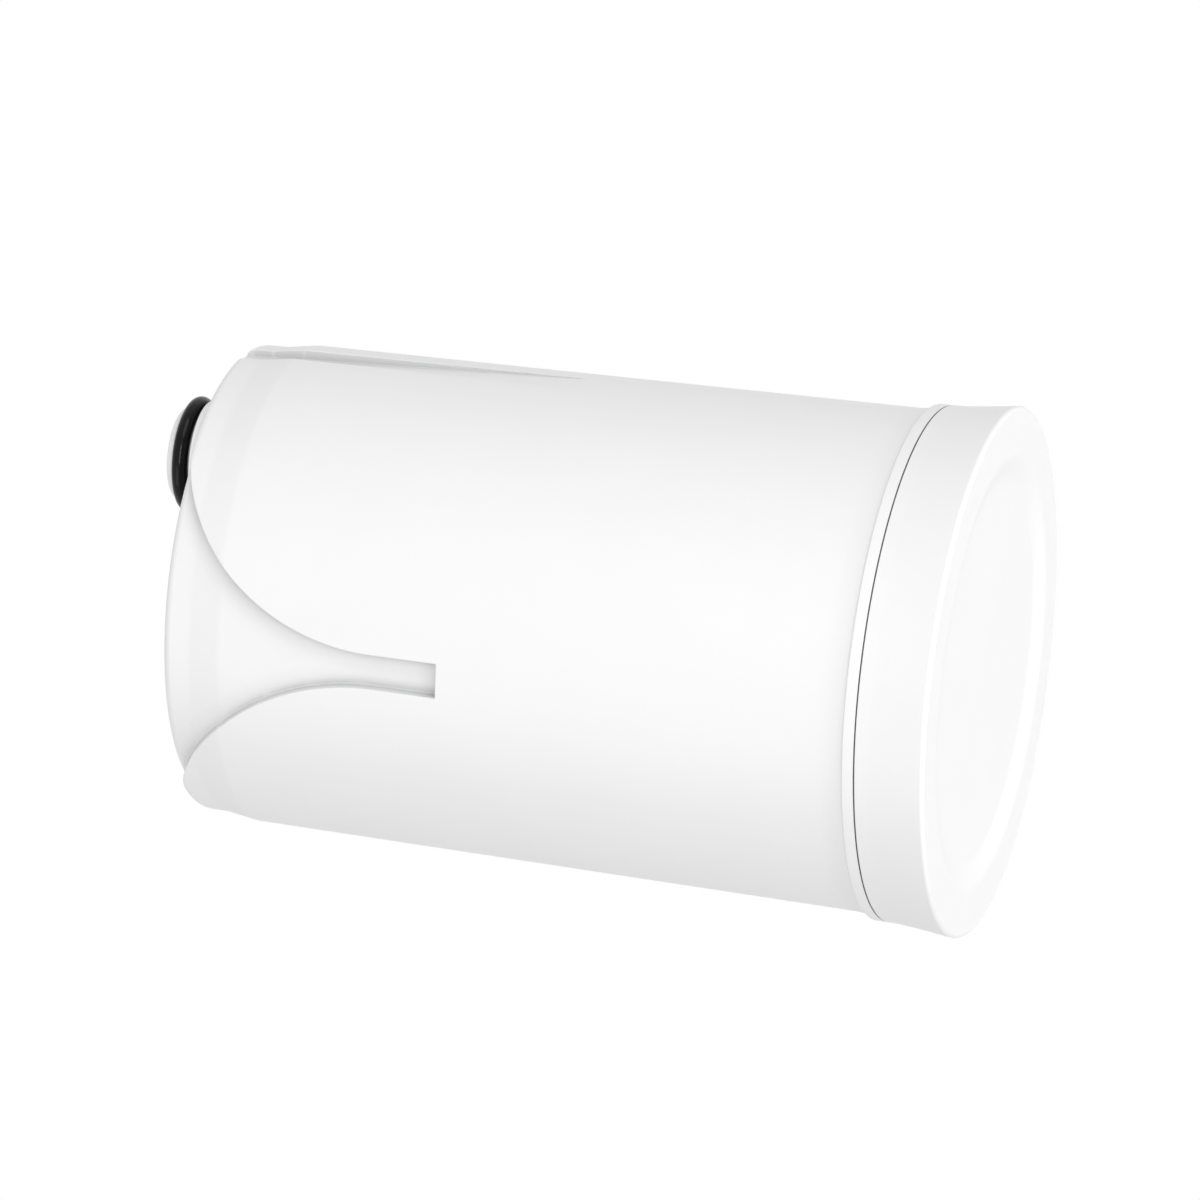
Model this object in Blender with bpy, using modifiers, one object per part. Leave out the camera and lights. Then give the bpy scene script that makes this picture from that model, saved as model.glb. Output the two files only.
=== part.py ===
"""Water filter cartridge: a moulded housing with guide recesses and two ports, a welded end cap,
and the hollow carbon block that it holds.

The cartridge stands on its cap. The axis is +Z, the cap's face is at z = 0 and the ports are on top.
Angles are measured from -Y towards +X. All sizes are in metres.
"""
import math

import bmesh
import bpy
from mathutils import Matrix

# general fits
seat_gap = 0.0003            # clearance between two pieces that touch on the real product
cut_over = 0.0020            # how far a cutter reaches past the wall that it cuts

# housing wall
body_radius = 0.02899        # outer radius of the tapered wall, carried down to z = 0
body_draft = 0.0152          # radius lost for each metre of height
body_height = 0.0905         # top face of the end wall
wall = 0.0026                # wall thickness of the housing, end wall included
shoulder_below_end = 0.0069  # the wall steps in from here, measured down from the end wall
shoulder_width = 0.0037
shoulder_step = 0.00054      # how much the shoulder takes off the radius
end_rounding = 0.0010        # rounded edge of the end wall

# flange at the mouth, and the joint with the cap
cap_height = 0.00815
joint_radius = 0.02955       # outer radius of cap and flange at the seam
seam_gap = 0.0003
flange_width = 0.0004
flange_fillet_height = 0.0042
tongue_thickness = 0.0016
cap_seal_thickness = 0.00085

# end cap
cap_radius = 0.03035
cap_rim_rounding = 0.0005
cap_flare_height = 0.0075    # the side wall flares out towards the rim below this height
cap_flare_curve = 1.25       # 1 is a straight flare, more starts it gently
cap_rim_land = 0.00515       # width of the rim round the recess, rounded edge included
cap_recess_slope = 0.0036    # width of the slope from the rim down to the recess's floor
cap_recess_depth = 0.0009
cap_thickness = 0.0024
cap_skirt_height = 0.0145
cap_skirt_thickness = 0.0020
cap_groove_floor = 0.0026

# guide recesses
recess_depth = 0.0014
slot_width = 0.0040
slot_length = 0.0332         # from the end wall down to the slot's square foot
flare_radius = 0.0255        # the slot flares out on this radius, up to the end wall
funnel_angles = (-18.5, 161.5)
ramp_length = 0.0410         # from the end wall down to where the ramped slots run out
ramp_depth = 0.00145
ramp_angles = (71.5, -108.5)

# ports
port_inset = 0.009711        # from the housing's inner wall to the centre of each port
port_angles = {"outlet": 64.5, "inlet": -115.5}
port_bore_radius = 0.0033
port_shoulder_height = 0.00344
port_shoulder_step = 0.0014  # how far the shoulder stands out under the O-ring
port_lip_step = 0.0005       # how far the lip stands out above it
port_lip_height = 0.0007
port_lip_rounding = 0.0004
ring_section = 0.00178       # cord diameter of the port O-rings
ring_inner_radius = 0.0050
screen_thickness = 0.0006
screen_seat_width = 0.0006

# carbon block and what holds it
flow_gap = 0.0006            # water way between the end plates and the cap's skirt
block_bore_radius = 0.0070
fleece_thickness = 0.0008
net_thickness = 0.0008
net_rows = 4
net_columns = 10
net_strand = 0.0016
core_fleece_thickness = 0.0004
core_tube_thickness = 0.0012
core_hole_radius = 0.0012
core_hole_rows = 4
core_hole_columns = 4
seal_thickness = 0.0010
plate_thickness = 0.0020
plate_rim_thickness = 0.0009
plate_rim_height = 0.0024
stand_off_thickness = 0.0016
stand_off_height = 0.0054    # from the cap up to the closed end plate
stand_off_count = 4
neck_radius = 0.0046
neck_wall = 0.0010           # least wall of the neck, under its O-ring
neck_ring_section = 0.0016

# channel from the block to the outlet port
gasket_thickness = 0.0010
channel_half_width = 0.0055
channel_wall = 0.0018
channel_depth = 0.0030
manifold_floor = 0.0020
socket_length = 0.0070
socket_wall = 0.0016

# facets round a full turn
body_steps = 80
ring_steps = 32
inner_steps = 28


def clear_scene():
    for item in list(bpy.data.objects):
        bpy.data.objects.remove(item, do_unlink=True)


def new_collection(name):
    collection = bpy.data.collections.new(name)
    bpy.context.scene.collection.children.link(collection)
    return collection


def plastic(name, colour, roughness, metallic=0.0):
    material = bpy.data.materials.new(name)
    material.use_nodes = True
    shader = material.node_tree.nodes["Principled BSDF"]
    shader.inputs["Base Color"].default_value = (*colour, 1.0)
    shader.inputs["Roughness"].default_value = roughness
    shader.inputs["Metallic"].default_value = metallic
    return material


def add_object(name, mesh, collection, material=None):
    item = bpy.data.objects.new(name, mesh)
    collection.objects.link(item)
    if material:
        mesh.materials.append(material)
    return item


def profile_mesh(name, points, closed):
    """A chain of points (radius, height) in the XZ plane, joined by edges."""
    mesh = bpy.data.meshes.new(name)
    shape = bmesh.new()
    corners = [shape.verts.new((radius, 0.0, height)) for radius, height in points]
    for first, second in zip(corners, corners[1:]):
        shape.edges.new((first, second))
    if closed:
        shape.edges.new((corners[-1], corners[0]))
    shape.to_mesh(mesh)
    shape.free()
    return mesh


def turned(name, points, collection, material, steps, closed=False):
    """A profile turned round Z; its outer side is listed from top to bottom."""
    item = add_object(name, profile_mesh(name, points, closed), collection, material)
    screw = item.modifiers.new("turn", "SCREW")
    screw.axis = "Z"
    screw.angle = math.tau
    screw.steps = steps
    screw.render_steps = steps
    screw.use_merge_vertices = True
    screw.merge_threshold = 0.00001
    screw.use_smooth_shade = True
    return item


def tube_points(inner, outer, bottom, top):
    return [(inner, top), (outer, top), (outer, bottom), (inner, bottom)]


def arc(centre, radius, start, end, count):
    """Points on a circle in the XZ plane, angles in degrees from the radial direction."""
    points = []
    for index in range(count + 1):
        angle = math.radians(start + (end - start) * index / count)
        points.append((centre[0] + radius * math.cos(angle), centre[1] + radius * math.sin(angle)))
    return points


def ring_profile(centre_radius, height, section, count):
    """Round section of an O-ring, listed so that its outer side runs downwards."""
    points = arc((centre_radius, height), section / 2, 90.0, -270.0, count)
    return points[:-1]


def around(angle, radius, height=0.0):
    turn = math.radians(angle)
    return (radius * math.sin(turn), -radius * math.cos(turn), height)


def cut(item, cutter, operation="DIFFERENCE"):
    boolean = item.modifiers.new("cut_" + cutter.name, "BOOLEAN")
    boolean.operation = operation
    boolean.solver = "EXACT"
    boolean.object = cutter


def as_cutter(item):
    item.hide_render = True
    item.display_type = "WIRE"
    return item


def turned_cutter(name, points, closed=False, steps=inner_steps):
    return as_cutter(turned(name, points, cutters, None, steps, closed))


def wall_radius(height):
    """Outer radius of the tapered wall, without its shoulder."""
    return body_radius - body_draft * height


def shoulder_start():
    return body_height - shoulder_below_end


def shoulder_end():
    return shoulder_start() + shoulder_width


def outer_wall(inset=0.0):
    """The wall's outline from the rounded end edge down to the flange, moved in by inset."""
    end_radius = wall_radius(body_height) - shoulder_step - inset
    centre = (end_radius - end_rounding, body_height - end_rounding)
    points = arc(centre, end_rounding, 80.0, 0.0, 4)
    points.append((wall_radius(shoulder_end()) - shoulder_step - inset, shoulder_end()))
    points.append((wall_radius(shoulder_start()) - inset, shoulder_start()))
    return points


def flange_outline():
    """Fillet and flange, from the wall down to the seam."""
    seam = cap_height + seam_gap
    flange_top = seam + flange_width
    fillet_top = flange_top + flange_fillet_height
    rise = joint_radius - wall_radius(fillet_top)
    points = []
    steps = 4
    for index in range(steps + 1):
        share = index / steps
        drop = 1.0 - math.sqrt(1.0 - share * share)
        points.append((wall_radius(fillet_top) + rise * drop, fillet_top - flange_fillet_height * share))
    points.append((joint_radius, seam))
    return points


def mouth_radius():
    return wall_radius(cap_height + seam_gap) - wall


def tongue_foot():
    """The tongue stands on the flat ring at the bottom of the cap's groove."""
    return cap_groove_floor + cap_seal_thickness + 2 * seat_gap


def inner_end():
    return body_height - wall


def inner_end_radius():
    return wall_radius(inner_end()) - wall - shoulder_step


def port_offset():
    """Distance of each port from the axis."""
    return inner_end_radius() - port_inset


def housing_profile():
    """Half section of the housing without its ports, from the axis out, down and back inside."""
    seam = cap_height + seam_gap
    points = [(0.0, body_height)]
    points += outer_wall()
    points += flange_outline()
    points.append((mouth_radius() + tongue_thickness, seam))
    points.append((mouth_radius() + tongue_thickness, tongue_foot()))
    points.append((mouth_radius(), tongue_foot()))
    points.append((inner_end_radius(), inner_end()))
    points.append((0.0, inner_end()))
    return points


def flat_outline(name, points, depth):
    """A filled outline in the XZ plane, depth thick along Y, as a closed mesh."""
    curve = bpy.data.curves.new(name, "CURVE")
    curve.dimensions = "2D"
    curve.fill_mode = "BOTH"
    curve.extrude = depth / 2
    spline = curve.splines.new("POLY")
    spline.points.add(len(points) - 1)
    for point, (across, up) in zip(spline.points, points):
        point.co = (across, up, 0.0, 1.0)
    spline.use_cyclic_u = True
    flat = bpy.data.objects.new(name, curve)
    cutters.objects.link(flat)
    flat.matrix_world = Matrix.Rotation(math.radians(90.0), 4, "X")
    bpy.context.view_layer.update()
    mesh = bpy.data.meshes.new_from_object(flat.evaluated_get(bpy.context.evaluated_depsgraph_get()))
    mesh.transform(flat.matrix_world)
    bpy.data.objects.remove(flat)
    shape = bmesh.new()
    shape.from_mesh(mesh)
    bmesh.ops.remove_doubles(shape, verts=shape.verts, dist=0.000001)
    bmesh.ops.dissolve_limit(shape, angle_limit=0.001, verts=shape.verts, edges=shape.edges)
    bmesh.ops.recalc_face_normals(shape, faces=shape.faces)
    return mesh, shape


def slot_foot():
    return body_height - slot_length


def ramp_foot():
    return body_height - ramp_length


def guide_radius():
    """Radius on which the widths of the guide recesses are measured."""
    return wall_radius((slot_foot() + body_height) / 2)


def wrapped_cutter(name, points, angle):
    """An outline (width, height) bent round the wall at the given angle, cut through its full depth."""
    depth = 2 * (recess_depth + cut_over)
    mesh, shape = flat_outline(name, points, depth)
    half_width = max(across for across, up in points)
    facet = math.tau / body_steps * guide_radius()
    count = int(half_width / facet)
    for index in range(-count, count + 1):
        everything = shape.verts[:] + shape.edges[:] + shape.faces[:]
        bmesh.ops.bisect_plane(
            shape, geom=everything, dist=0.000001,
            plane_co=(index * facet, 0.0, 0.0), plane_no=(1.0, 0.0, 0.0))
    for corner in shape.verts:
        turn = math.radians(angle) + corner.co.x / guide_radius()
        radius = guide_radius() - corner.co.y
        corner.co = (radius * math.sin(turn), -radius * math.cos(turn), corner.co.z)
    shape.to_mesh(mesh)
    shape.free()
    return as_cutter(add_object(name, mesh, cutters))


def funnel_outline():
    """Slot with a square foot that flares out, on one radius, into a funnel at the end wall."""
    half = slot_width / 2
    flare_start = body_height - flare_radius
    top = body_height + cut_over
    right = []
    steps = 14
    for index in range(steps + 1):
        turn = math.radians(88.0) * index / steps
        across = half + flare_radius * (1.0 - math.cos(turn))
        right.append((across, flare_start + flare_radius * math.sin(turn)))
    right.append((right[-1][0], top))
    left = [(-across, up) for across, up in reversed(right)]
    return [(-half, slot_foot()), (half, slot_foot())] + right + left


def slot_outline():
    half = slot_width / 2
    foot = ramp_foot() - cut_over
    top = body_height + cut_over
    return [(-half, foot), (half, foot), (half, top), (-half, top)]


def funnel_floor():
    """Turned core that the funnels are cut down to: the wall's own outline, one recess depth in."""
    top = body_height + 2 * cut_over
    foot = slot_foot() - 2 * cut_over
    outline = outer_wall(recess_depth)
    points = [(0.0, top), (outline[0][0], top)] + outline
    points += [(wall_radius(foot) - recess_depth, foot), (0.0, foot)]
    return turned_cutter("funnel_floor", points, steps=body_steps)


def ramp_floor():
    """Turned core of the ramped slots, which rises to meet the wall at their foot."""
    def ramp_radius(height):
        share = (height - ramp_foot()) / ramp_length
        return wall_radius(height) - ramp_depth * share

    top = body_height + 2 * cut_over
    foot = ramp_foot() - 2 * cut_over
    points = [(0.0, top), (ramp_radius(top), top), (ramp_radius(foot), foot), (0.0, foot)]
    return turned_cutter("ramp_floor", points, steps=body_steps)


def port_outline():
    """Half section of a port's spigot, from its tip down into the end wall."""
    groove_radius = ring_inner_radius - seat_gap
    shoulder_radius = ring_inner_radius + port_shoulder_step
    lip_radius = ring_inner_radius + port_lip_step
    groove_foot = body_height + port_shoulder_height
    groove_top = groove_foot + ring_section + 2 * seat_gap
    tip = groove_top + port_lip_height
    rounding = arc((lip_radius - port_lip_rounding, tip - port_lip_rounding),
                   port_lip_rounding, 90.0, 0.0, 3)
    points = [(0.0, tip)] + rounding
    points += [(lip_radius, groove_top), (groove_radius, groove_top), (groove_radius, groove_foot)]
    points += [(shoulder_radius, groove_foot), (shoulder_radius, body_height - wall / 2)]
    points.append((0.0, body_height - wall / 2))
    return points


def ring_height():
    return body_height + port_shoulder_height + seat_gap + ring_section / 2


def port_tip():
    return body_height + port_shoulder_height + ring_section + 2 * seat_gap + port_lip_height


def screen_bottom():
    return body_height - wall


def add_ports(housing):
    """Joins both spigots to the end wall, then bores them, with a wider seat for each screen."""
    for side, angle in port_angles.items():
        spigot = turned_cutter(side + "_spigot", port_outline(), steps=ring_steps)
        spigot.location = around(angle, port_offset())
        cut(housing, spigot, "UNION")
        low = screen_bottom() - cut_over
        high = port_tip() + cut_over
        seat_radius = port_bore_radius + screen_seat_width
        seat_top = screen_bottom() + screen_thickness + seat_gap
        bore = turned_cutter(side + "_bore", [(0.0, high), (port_bore_radius, high),
                                              (port_bore_radius, seat_top), (seat_radius, seat_top),
                                              (seat_radius, low), (0.0, low)], steps=ring_steps)
        bore.location = spigot.location
        # half a facet round, so that no edge of the bore lies on an edge of the spigot
        bore.rotation_euler = (0.0, 0.0, math.pi / ring_steps)
        cut(housing, bore)


def add_housing():
    housing = turned("housing_body", housing_profile(), product, white, body_steps)
    funnels = funnel_floor()
    ramps = ramp_floor()
    for index, angle in enumerate(funnel_angles):
        cutter = wrapped_cutter(f"funnel_{index + 1}", funnel_outline(), angle)
        cut(cutter, funnels)
        cut(housing, cutter)
    for index, angle in enumerate(ramp_angles):
        cutter = wrapped_cutter(f"ramp_{index + 1}", slot_outline(), angle)
        cut(cutter, ramps)
        cut(housing, cutter)
    add_ports(housing)
    return housing


def skirt_radius():
    return mouth_radius() - seat_gap


def skirt_inner_radius():
    return skirt_radius() - cap_skirt_thickness


def cap_floor():
    return cap_recess_depth + cap_thickness


def add_end_cap():
    """Cap with a grooved rim for the housing's tongue and a skirt that plugs its mouth."""
    skirt_inner = skirt_inner_radius()
    groove_outer = mouth_radius() + tongue_thickness + seat_gap
    points = [(0.0, cap_floor()), (skirt_inner, cap_floor())]
    points += [(skirt_inner, cap_skirt_height), (skirt_radius(), cap_skirt_height)]
    points += [(skirt_radius(), cap_groove_floor), (groove_outer, cap_groove_floor)]
    points += [(groove_outer, cap_height), (joint_radius, cap_height)]
    flare = cap_radius - joint_radius
    low = cap_rim_rounding
    steps = 3
    for index in range(steps + 1):
        share = index / steps
        points.append((joint_radius + flare * share ** cap_flare_curve,
                       cap_flare_height + (low - cap_flare_height) * share))
    points += arc((cap_radius - cap_rim_rounding, low), cap_rim_rounding, 0.0, -90.0, 4)[1:]
    recess_outer = cap_radius - cap_rim_land
    for index in range(steps + 1):
        share = index / steps
        depth = cap_recess_depth * (1.0 - math.cos(math.pi * share)) / 2
        points.append((recess_outer - cap_recess_slope * share, depth))
    points.append((0.0, cap_recess_depth))
    turned("end_cap", points, product, white, body_steps)


def add_cap_seal_ring():
    """Flat ring at the bottom of the cap's groove, under the housing's tongue."""
    bottom = cap_groove_floor + seat_gap
    top = bottom + cap_seal_thickness
    outline = tube_points(mouth_radius(), mouth_radius() + tongue_thickness, bottom, top)
    turned("cap_seal_ring", outline, product, rubber, 40, closed=True)


def add_port_rings():
    centre = ring_inner_radius + ring_section / 2
    for side, angle in port_angles.items():
        profile = ring_profile(centre, ring_height(), ring_section, 8)
        ring = turned(side + "_port_o_ring", profile, product, rubber, ring_steps, closed=True)
        ring.location = around(angle, port_offset())


def add_screens():
    for side, angle in port_angles.items():
        radius = port_bore_radius + screen_seat_width - seat_gap
        bottom = screen_bottom()
        top = bottom + screen_thickness
        points = [(0.0, top), (radius, top), (radius, bottom), (0.0, bottom)]
        screen = turned(side + "_screen", points, product, steel, 24)
        screen.location = around(angle, port_offset())


def gasket_bottom():
    return body_height - wall - seat_gap - gasket_thickness


def manifold_top():
    return gasket_bottom() - seat_gap


def manifold_bottom():
    return manifold_top() - channel_depth - manifold_floor


def block_top():
    """Top of the carbon block, below its seal, its end plate and the manifold's socket."""
    plate_top = manifold_bottom() - socket_length - seat_gap
    return plate_top - plate_thickness - seal_thickness - 2 * seat_gap


def block_bottom():
    """Bottom of the carbon block, on its seal and its end plate, whose ribs stand on the cap."""
    plate_bottom = cap_floor() + seat_gap + stand_off_height
    return plate_bottom + plate_thickness + seal_thickness + 2 * seat_gap


def plate_rim_outer():
    return skirt_inner_radius() - flow_gap


def block_radius():
    """The block with its fleece and net fits the rims of its end plates."""
    return plate_rim_outer() - plate_rim_thickness - net_thickness - fleece_thickness - 3 * seat_gap


def stadium(name, half_width, bottom, top, collection, material=None):
    """A plate with round ends that reaches from the axis to the outlet port."""
    points = []
    steps = 14
    for index in range(steps + 1):
        turn = math.pi * index / steps
        points.append((half_width * math.cos(turn), port_offset() + half_width * math.sin(turn)))
    for index in range(steps + 1):
        turn = math.pi + math.pi * index / steps
        points.append((half_width * math.cos(turn), half_width * math.sin(turn)))
    mesh, shape = flat_outline(name, points, top - bottom)
    place = Matrix.Rotation(math.radians(port_angles["outlet"]), 4, "Z")
    place = place @ Matrix.Rotation(math.radians(90.0), 4, "X")
    place = Matrix.Translation((0.0, 0.0, (top + bottom) / 2)) @ place
    shape.transform(place)
    shape.to_mesh(mesh)
    shape.free()
    return add_object(name, mesh, collection, material)


def add_manifold():
    """Channel plate with a socket under it for the neck of the block."""
    outer = channel_half_width + channel_wall
    gasket = stadium("manifold_gasket", outer, gasket_bottom(), gasket_bottom() + gasket_thickness,
                     product, rubber)
    window = as_cutter(stadium("gasket_window", channel_half_width, gasket_bottom() - cut_over,
                               gasket_bottom() + gasket_thickness + cut_over, cutters))
    cut(gasket, window)
    plate = stadium("manifold_plate", outer, manifold_bottom(), manifold_top(), product, white)
    channel = as_cutter(stadium("channel", channel_half_width, manifold_bottom() + manifold_floor,
                                manifold_top() + cut_over, cutters))
    cut(plate, channel)
    socket_foot = manifold_bottom() - socket_length
    socket_inner = neck_radius + seat_gap
    joined_to = manifold_bottom() + manifold_floor / 2
    socket = turned_cutter("socket", [(0.0, joined_to), (socket_inner + socket_wall, joined_to),
                                      (socket_inner + socket_wall, socket_foot), (0.0, socket_foot)])
    cut(plate, socket, "UNION")
    high = manifold_top() + cut_over
    low = socket_foot - cut_over
    bore = turned_cutter("socket_bore", [(0.0, high), (socket_inner, high), (socket_inner, low), (0.0, low)])
    cut(plate, bore)


def neck_ring_height():
    return manifold_bottom() - socket_length / 2


def neck_groove_radius():
    return neck_radius - neck_ring_section - seat_gap


def add_neck_o_ring():
    centre = neck_radius - neck_ring_section / 2
    profile = ring_profile(centre, neck_ring_height(), neck_ring_section, 6)
    turned("neck_o_ring", profile, product, rubber, 24, closed=True)


def add_outlet_end_plate():
    """Disc with a shallow rim round the block and a grooved neck that enters the socket."""
    bottom = block_top() + seal_thickness + 2 * seat_gap
    top = bottom + plate_thickness
    tip = manifold_bottom()
    rim_inner = plate_rim_outer() - plate_rim_thickness
    groove_half = neck_ring_section / 2 + seat_gap
    groove = neck_groove_radius()
    bore = groove - neck_wall
    ring = neck_ring_height()
    points = [(bore, tip), (neck_radius, tip)]
    points += [(neck_radius, ring + groove_half), (groove, ring + groove_half)]
    points += [(groove, ring - groove_half), (neck_radius, ring - groove_half)]
    points += [(neck_radius, top), (plate_rim_outer(), top)]
    points += [(plate_rim_outer(), bottom - plate_rim_height), (rim_inner, bottom - plate_rim_height)]
    points += [(rim_inner, bottom), (bore, bottom)]
    turned("outlet_end_plate", points, product, white, inner_steps, closed=True)


def add_closed_end_plate():
    """Closed disc with a rim round the block and crossed ribs that stand on the cap."""
    top = block_bottom() - seal_thickness - 2 * seat_gap
    bottom = top - plate_thickness
    rim_inner = plate_rim_outer() - plate_rim_thickness
    points = [(0.0, top), (rim_inner, top), (rim_inner, top + plate_rim_height)]
    points += [(plate_rim_outer(), top + plate_rim_height), (plate_rim_outer(), bottom), (0.0, bottom)]
    plate = turned("closed_end_plate", points, product, white, inner_steps)
    foot = cap_floor() + seat_gap
    joined_to = bottom + plate_thickness / 2
    for index in range(stand_off_count // 2):
        bpy.ops.mesh.primitive_cube_add(size=1.0)
        rib = bpy.context.object
        rib.name = f"stand_off_{index + 1}"
        span = 2 * block_radius()
        rib.data.transform(Matrix.Diagonal((span, stand_off_thickness, joined_to - foot, 1.0)))
        rib.location = (0.0, 0.0, (joined_to + foot) / 2)
        rib.rotation_euler = (0.0, 0.0, math.tau * index / stand_off_count)
        for owner in list(rib.users_collection):
            owner.objects.unlink(rib)
        cutters.objects.link(rib)
        cut(plate, as_cutter(rib), "UNION")


def add_end_seals():
    seals = {
        "outlet_end_seal": block_top() + seat_gap,
        "closed_end_seal": block_bottom() - seat_gap - seal_thickness,
    }
    for name, bottom in seals.items():
        outline = tube_points(block_bore_radius, block_radius(), bottom, bottom + seal_thickness)
        turned(name, outline, product, glue, inner_steps, closed=True)


def add_block():
    bottom = block_bottom()
    top = block_top()
    turned("carbon_block", tube_points(block_bore_radius, block_radius(), bottom, top),
           product, carbon, inner_steps, closed=True)
    fleece_inner = block_radius() + seat_gap
    fleece_outer = fleece_inner + fleece_thickness
    turned("prefilter_fleece", tube_points(fleece_inner, fleece_outer, bottom, top),
           product, fleece, inner_steps, closed=True)
    core_outer = block_bore_radius - seat_gap
    turned("core_fleece", tube_points(core_outer - core_fleece_thickness, core_outer, bottom, top),
           product, fleece, inner_steps, closed=True)


def add_netting_sleeve():
    """Sleeve with rows of windows, which leave the strands of a square net."""
    inner = block_radius() + fleece_thickness + 2 * seat_gap
    outer = inner + net_thickness
    bottom = block_bottom()
    top = block_top()
    sleeve = turned("netting_sleeve", tube_points(inner, outer, bottom, top),
                    product, net_plastic, 2 * net_columns, closed=True)
    row_height = (top - bottom - net_strand) / net_rows
    window_height = row_height - net_strand
    window_width = math.tau * inner / net_columns - net_strand
    windows = bmesh.new()
    for row in range(net_rows):
        height = bottom + net_strand + row * row_height + window_height / 2
        for column in range(net_columns):
            turn = math.tau * (column + 0.5) / net_columns
            place = Matrix.Rotation(turn, 4, "Z") @ Matrix.Translation((outer, 0.0, height))
            size = Matrix.Diagonal((4 * net_thickness, window_width, window_height, 1.0))
            bmesh.ops.create_cube(windows, size=1.0, matrix=place @ size)
    mesh = bpy.data.meshes.new("net_windows")
    windows.to_mesh(mesh)
    windows.free()
    cut(sleeve, as_cutter(add_object("net_windows", mesh, cutters)))


def add_core_tube():
    """Perforated tube between the two end plates."""
    outer = block_bore_radius - core_fleece_thickness - 2 * seat_gap
    inner = outer - core_tube_thickness
    bottom = block_bottom() - seal_thickness - seat_gap
    top = block_top() + seal_thickness + seat_gap
    tube = turned("core_tube", tube_points(inner, outer, bottom, top), product, white, 24, closed=True)
    holes = bmesh.new()
    pitch = (top - bottom) / (core_hole_rows + 1)
    for row in range(core_hole_rows):
        for column in range(core_hole_columns):
            turn = math.tau * (column + 0.5) / core_hole_columns
            place = Matrix.Rotation(turn, 4, "Z")
            place = place @ Matrix.Translation((outer, 0.0, bottom + pitch * (row + 1)))
            place = place @ Matrix.Rotation(math.radians(90.0), 4, "Y")
            bmesh.ops.create_cone(
                holes, cap_ends=True, segments=8, radius1=core_hole_radius, radius2=core_hole_radius,
                depth=4 * core_tube_thickness, matrix=place)
    mesh = bpy.data.meshes.new("core_holes")
    holes.to_mesh(mesh)
    holes.free()
    cut(tube, as_cutter(add_object("core_holes", mesh, cutters)))


clear_scene()
product = new_collection("water_filter_cartridge")
cutters = new_collection("cutters")

white = plastic("white_polypropylene", (0.88, 0.88, 0.88), 0.45)
rubber = plastic("black_rubber", (0.012, 0.012, 0.013), 0.35)
steel = plastic("screen_steel", (0.55, 0.55, 0.56), 0.35, 1.0)
carbon = plastic("activated_carbon", (0.02, 0.02, 0.02), 0.9)
fleece = plastic("white_fleece", (0.80, 0.80, 0.78), 0.95)
net_plastic = plastic("net_polyethylene", (0.85, 0.86, 0.86), 0.5)
glue = plastic("hot_melt", (0.75, 0.73, 0.66), 0.5)

add_housing()
add_end_cap()
add_cap_seal_ring()
add_port_rings()
add_screens()
add_manifold()
add_neck_o_ring()
add_outlet_end_plate()
add_closed_end_plate()
add_end_seals()
add_block()
add_netting_sleeve()
add_core_tube()
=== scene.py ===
import math

import bmesh
import bpy
from mathutils import Matrix, Vector


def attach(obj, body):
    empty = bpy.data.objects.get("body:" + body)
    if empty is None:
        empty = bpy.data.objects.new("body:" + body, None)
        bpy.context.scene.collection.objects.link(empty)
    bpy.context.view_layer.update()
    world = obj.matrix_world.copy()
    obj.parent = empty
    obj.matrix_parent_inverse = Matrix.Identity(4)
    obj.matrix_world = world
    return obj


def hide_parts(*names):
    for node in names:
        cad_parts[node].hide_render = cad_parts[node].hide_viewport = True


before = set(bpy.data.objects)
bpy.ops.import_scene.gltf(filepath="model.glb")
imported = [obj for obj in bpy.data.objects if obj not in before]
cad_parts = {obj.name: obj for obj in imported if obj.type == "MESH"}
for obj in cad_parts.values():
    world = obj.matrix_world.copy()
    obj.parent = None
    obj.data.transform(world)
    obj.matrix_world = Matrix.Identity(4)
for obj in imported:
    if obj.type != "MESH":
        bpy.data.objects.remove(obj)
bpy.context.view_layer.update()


# Housing: one white polypropylene moulding, drafted so that it leaves its mould, with a two-step shoulder,
# two funnel guides, two ramped guides and two port spigots. The cap is welded to the flange at its mouth.
wall_foot_radius = 0.02899
wall_draft = 0.0152
housing_height = 0.0905
wall_thickness = 0.0026
shoulder_start = 0.0836
shoulder_end = 0.0873
shoulder_step = 0.00054
shoulder_blend = 0.00035
end_rounding = 0.0010
joint_radius = 0.02955
seam_height = 0.00826
edge_break = 0.00013
flange_top = 0.0096
fillet_height = 0.0030
tongue_thickness = 0.0016
tongue_foot = 0.00405
guide_radius = 0.027873
guide_depth = 0.0014
slot_half_width = 0.0020
slot_foot = 0.0573
flare_radius = 0.0255
ramp_foot = 0.0495
ramp_depth = 0.00145
guide_edge_radius = 0.00016
guides = ((-18.5, "funnel"), (-108.5, "ramp"), (-198.5, "funnel"), (-288.5, "ramp"))
port_offset = 0.0148
port_angles = {"outlet": 64.5, "inlet": -115.5}
port_steps = 72


def wall_radius(height):
    return wall_foot_radius - wall_draft * height


def arc(centre, radius, start, end, count):
    """Points (radius, height) on an arc, its angles in degrees from the radial direction."""
    turns = [math.radians(start + (end - start) * index / count) for index in range(count + 1)]
    return [(centre[0] + radius * math.cos(turn), centre[1] + radius * math.sin(turn)) for turn in turns]


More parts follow.
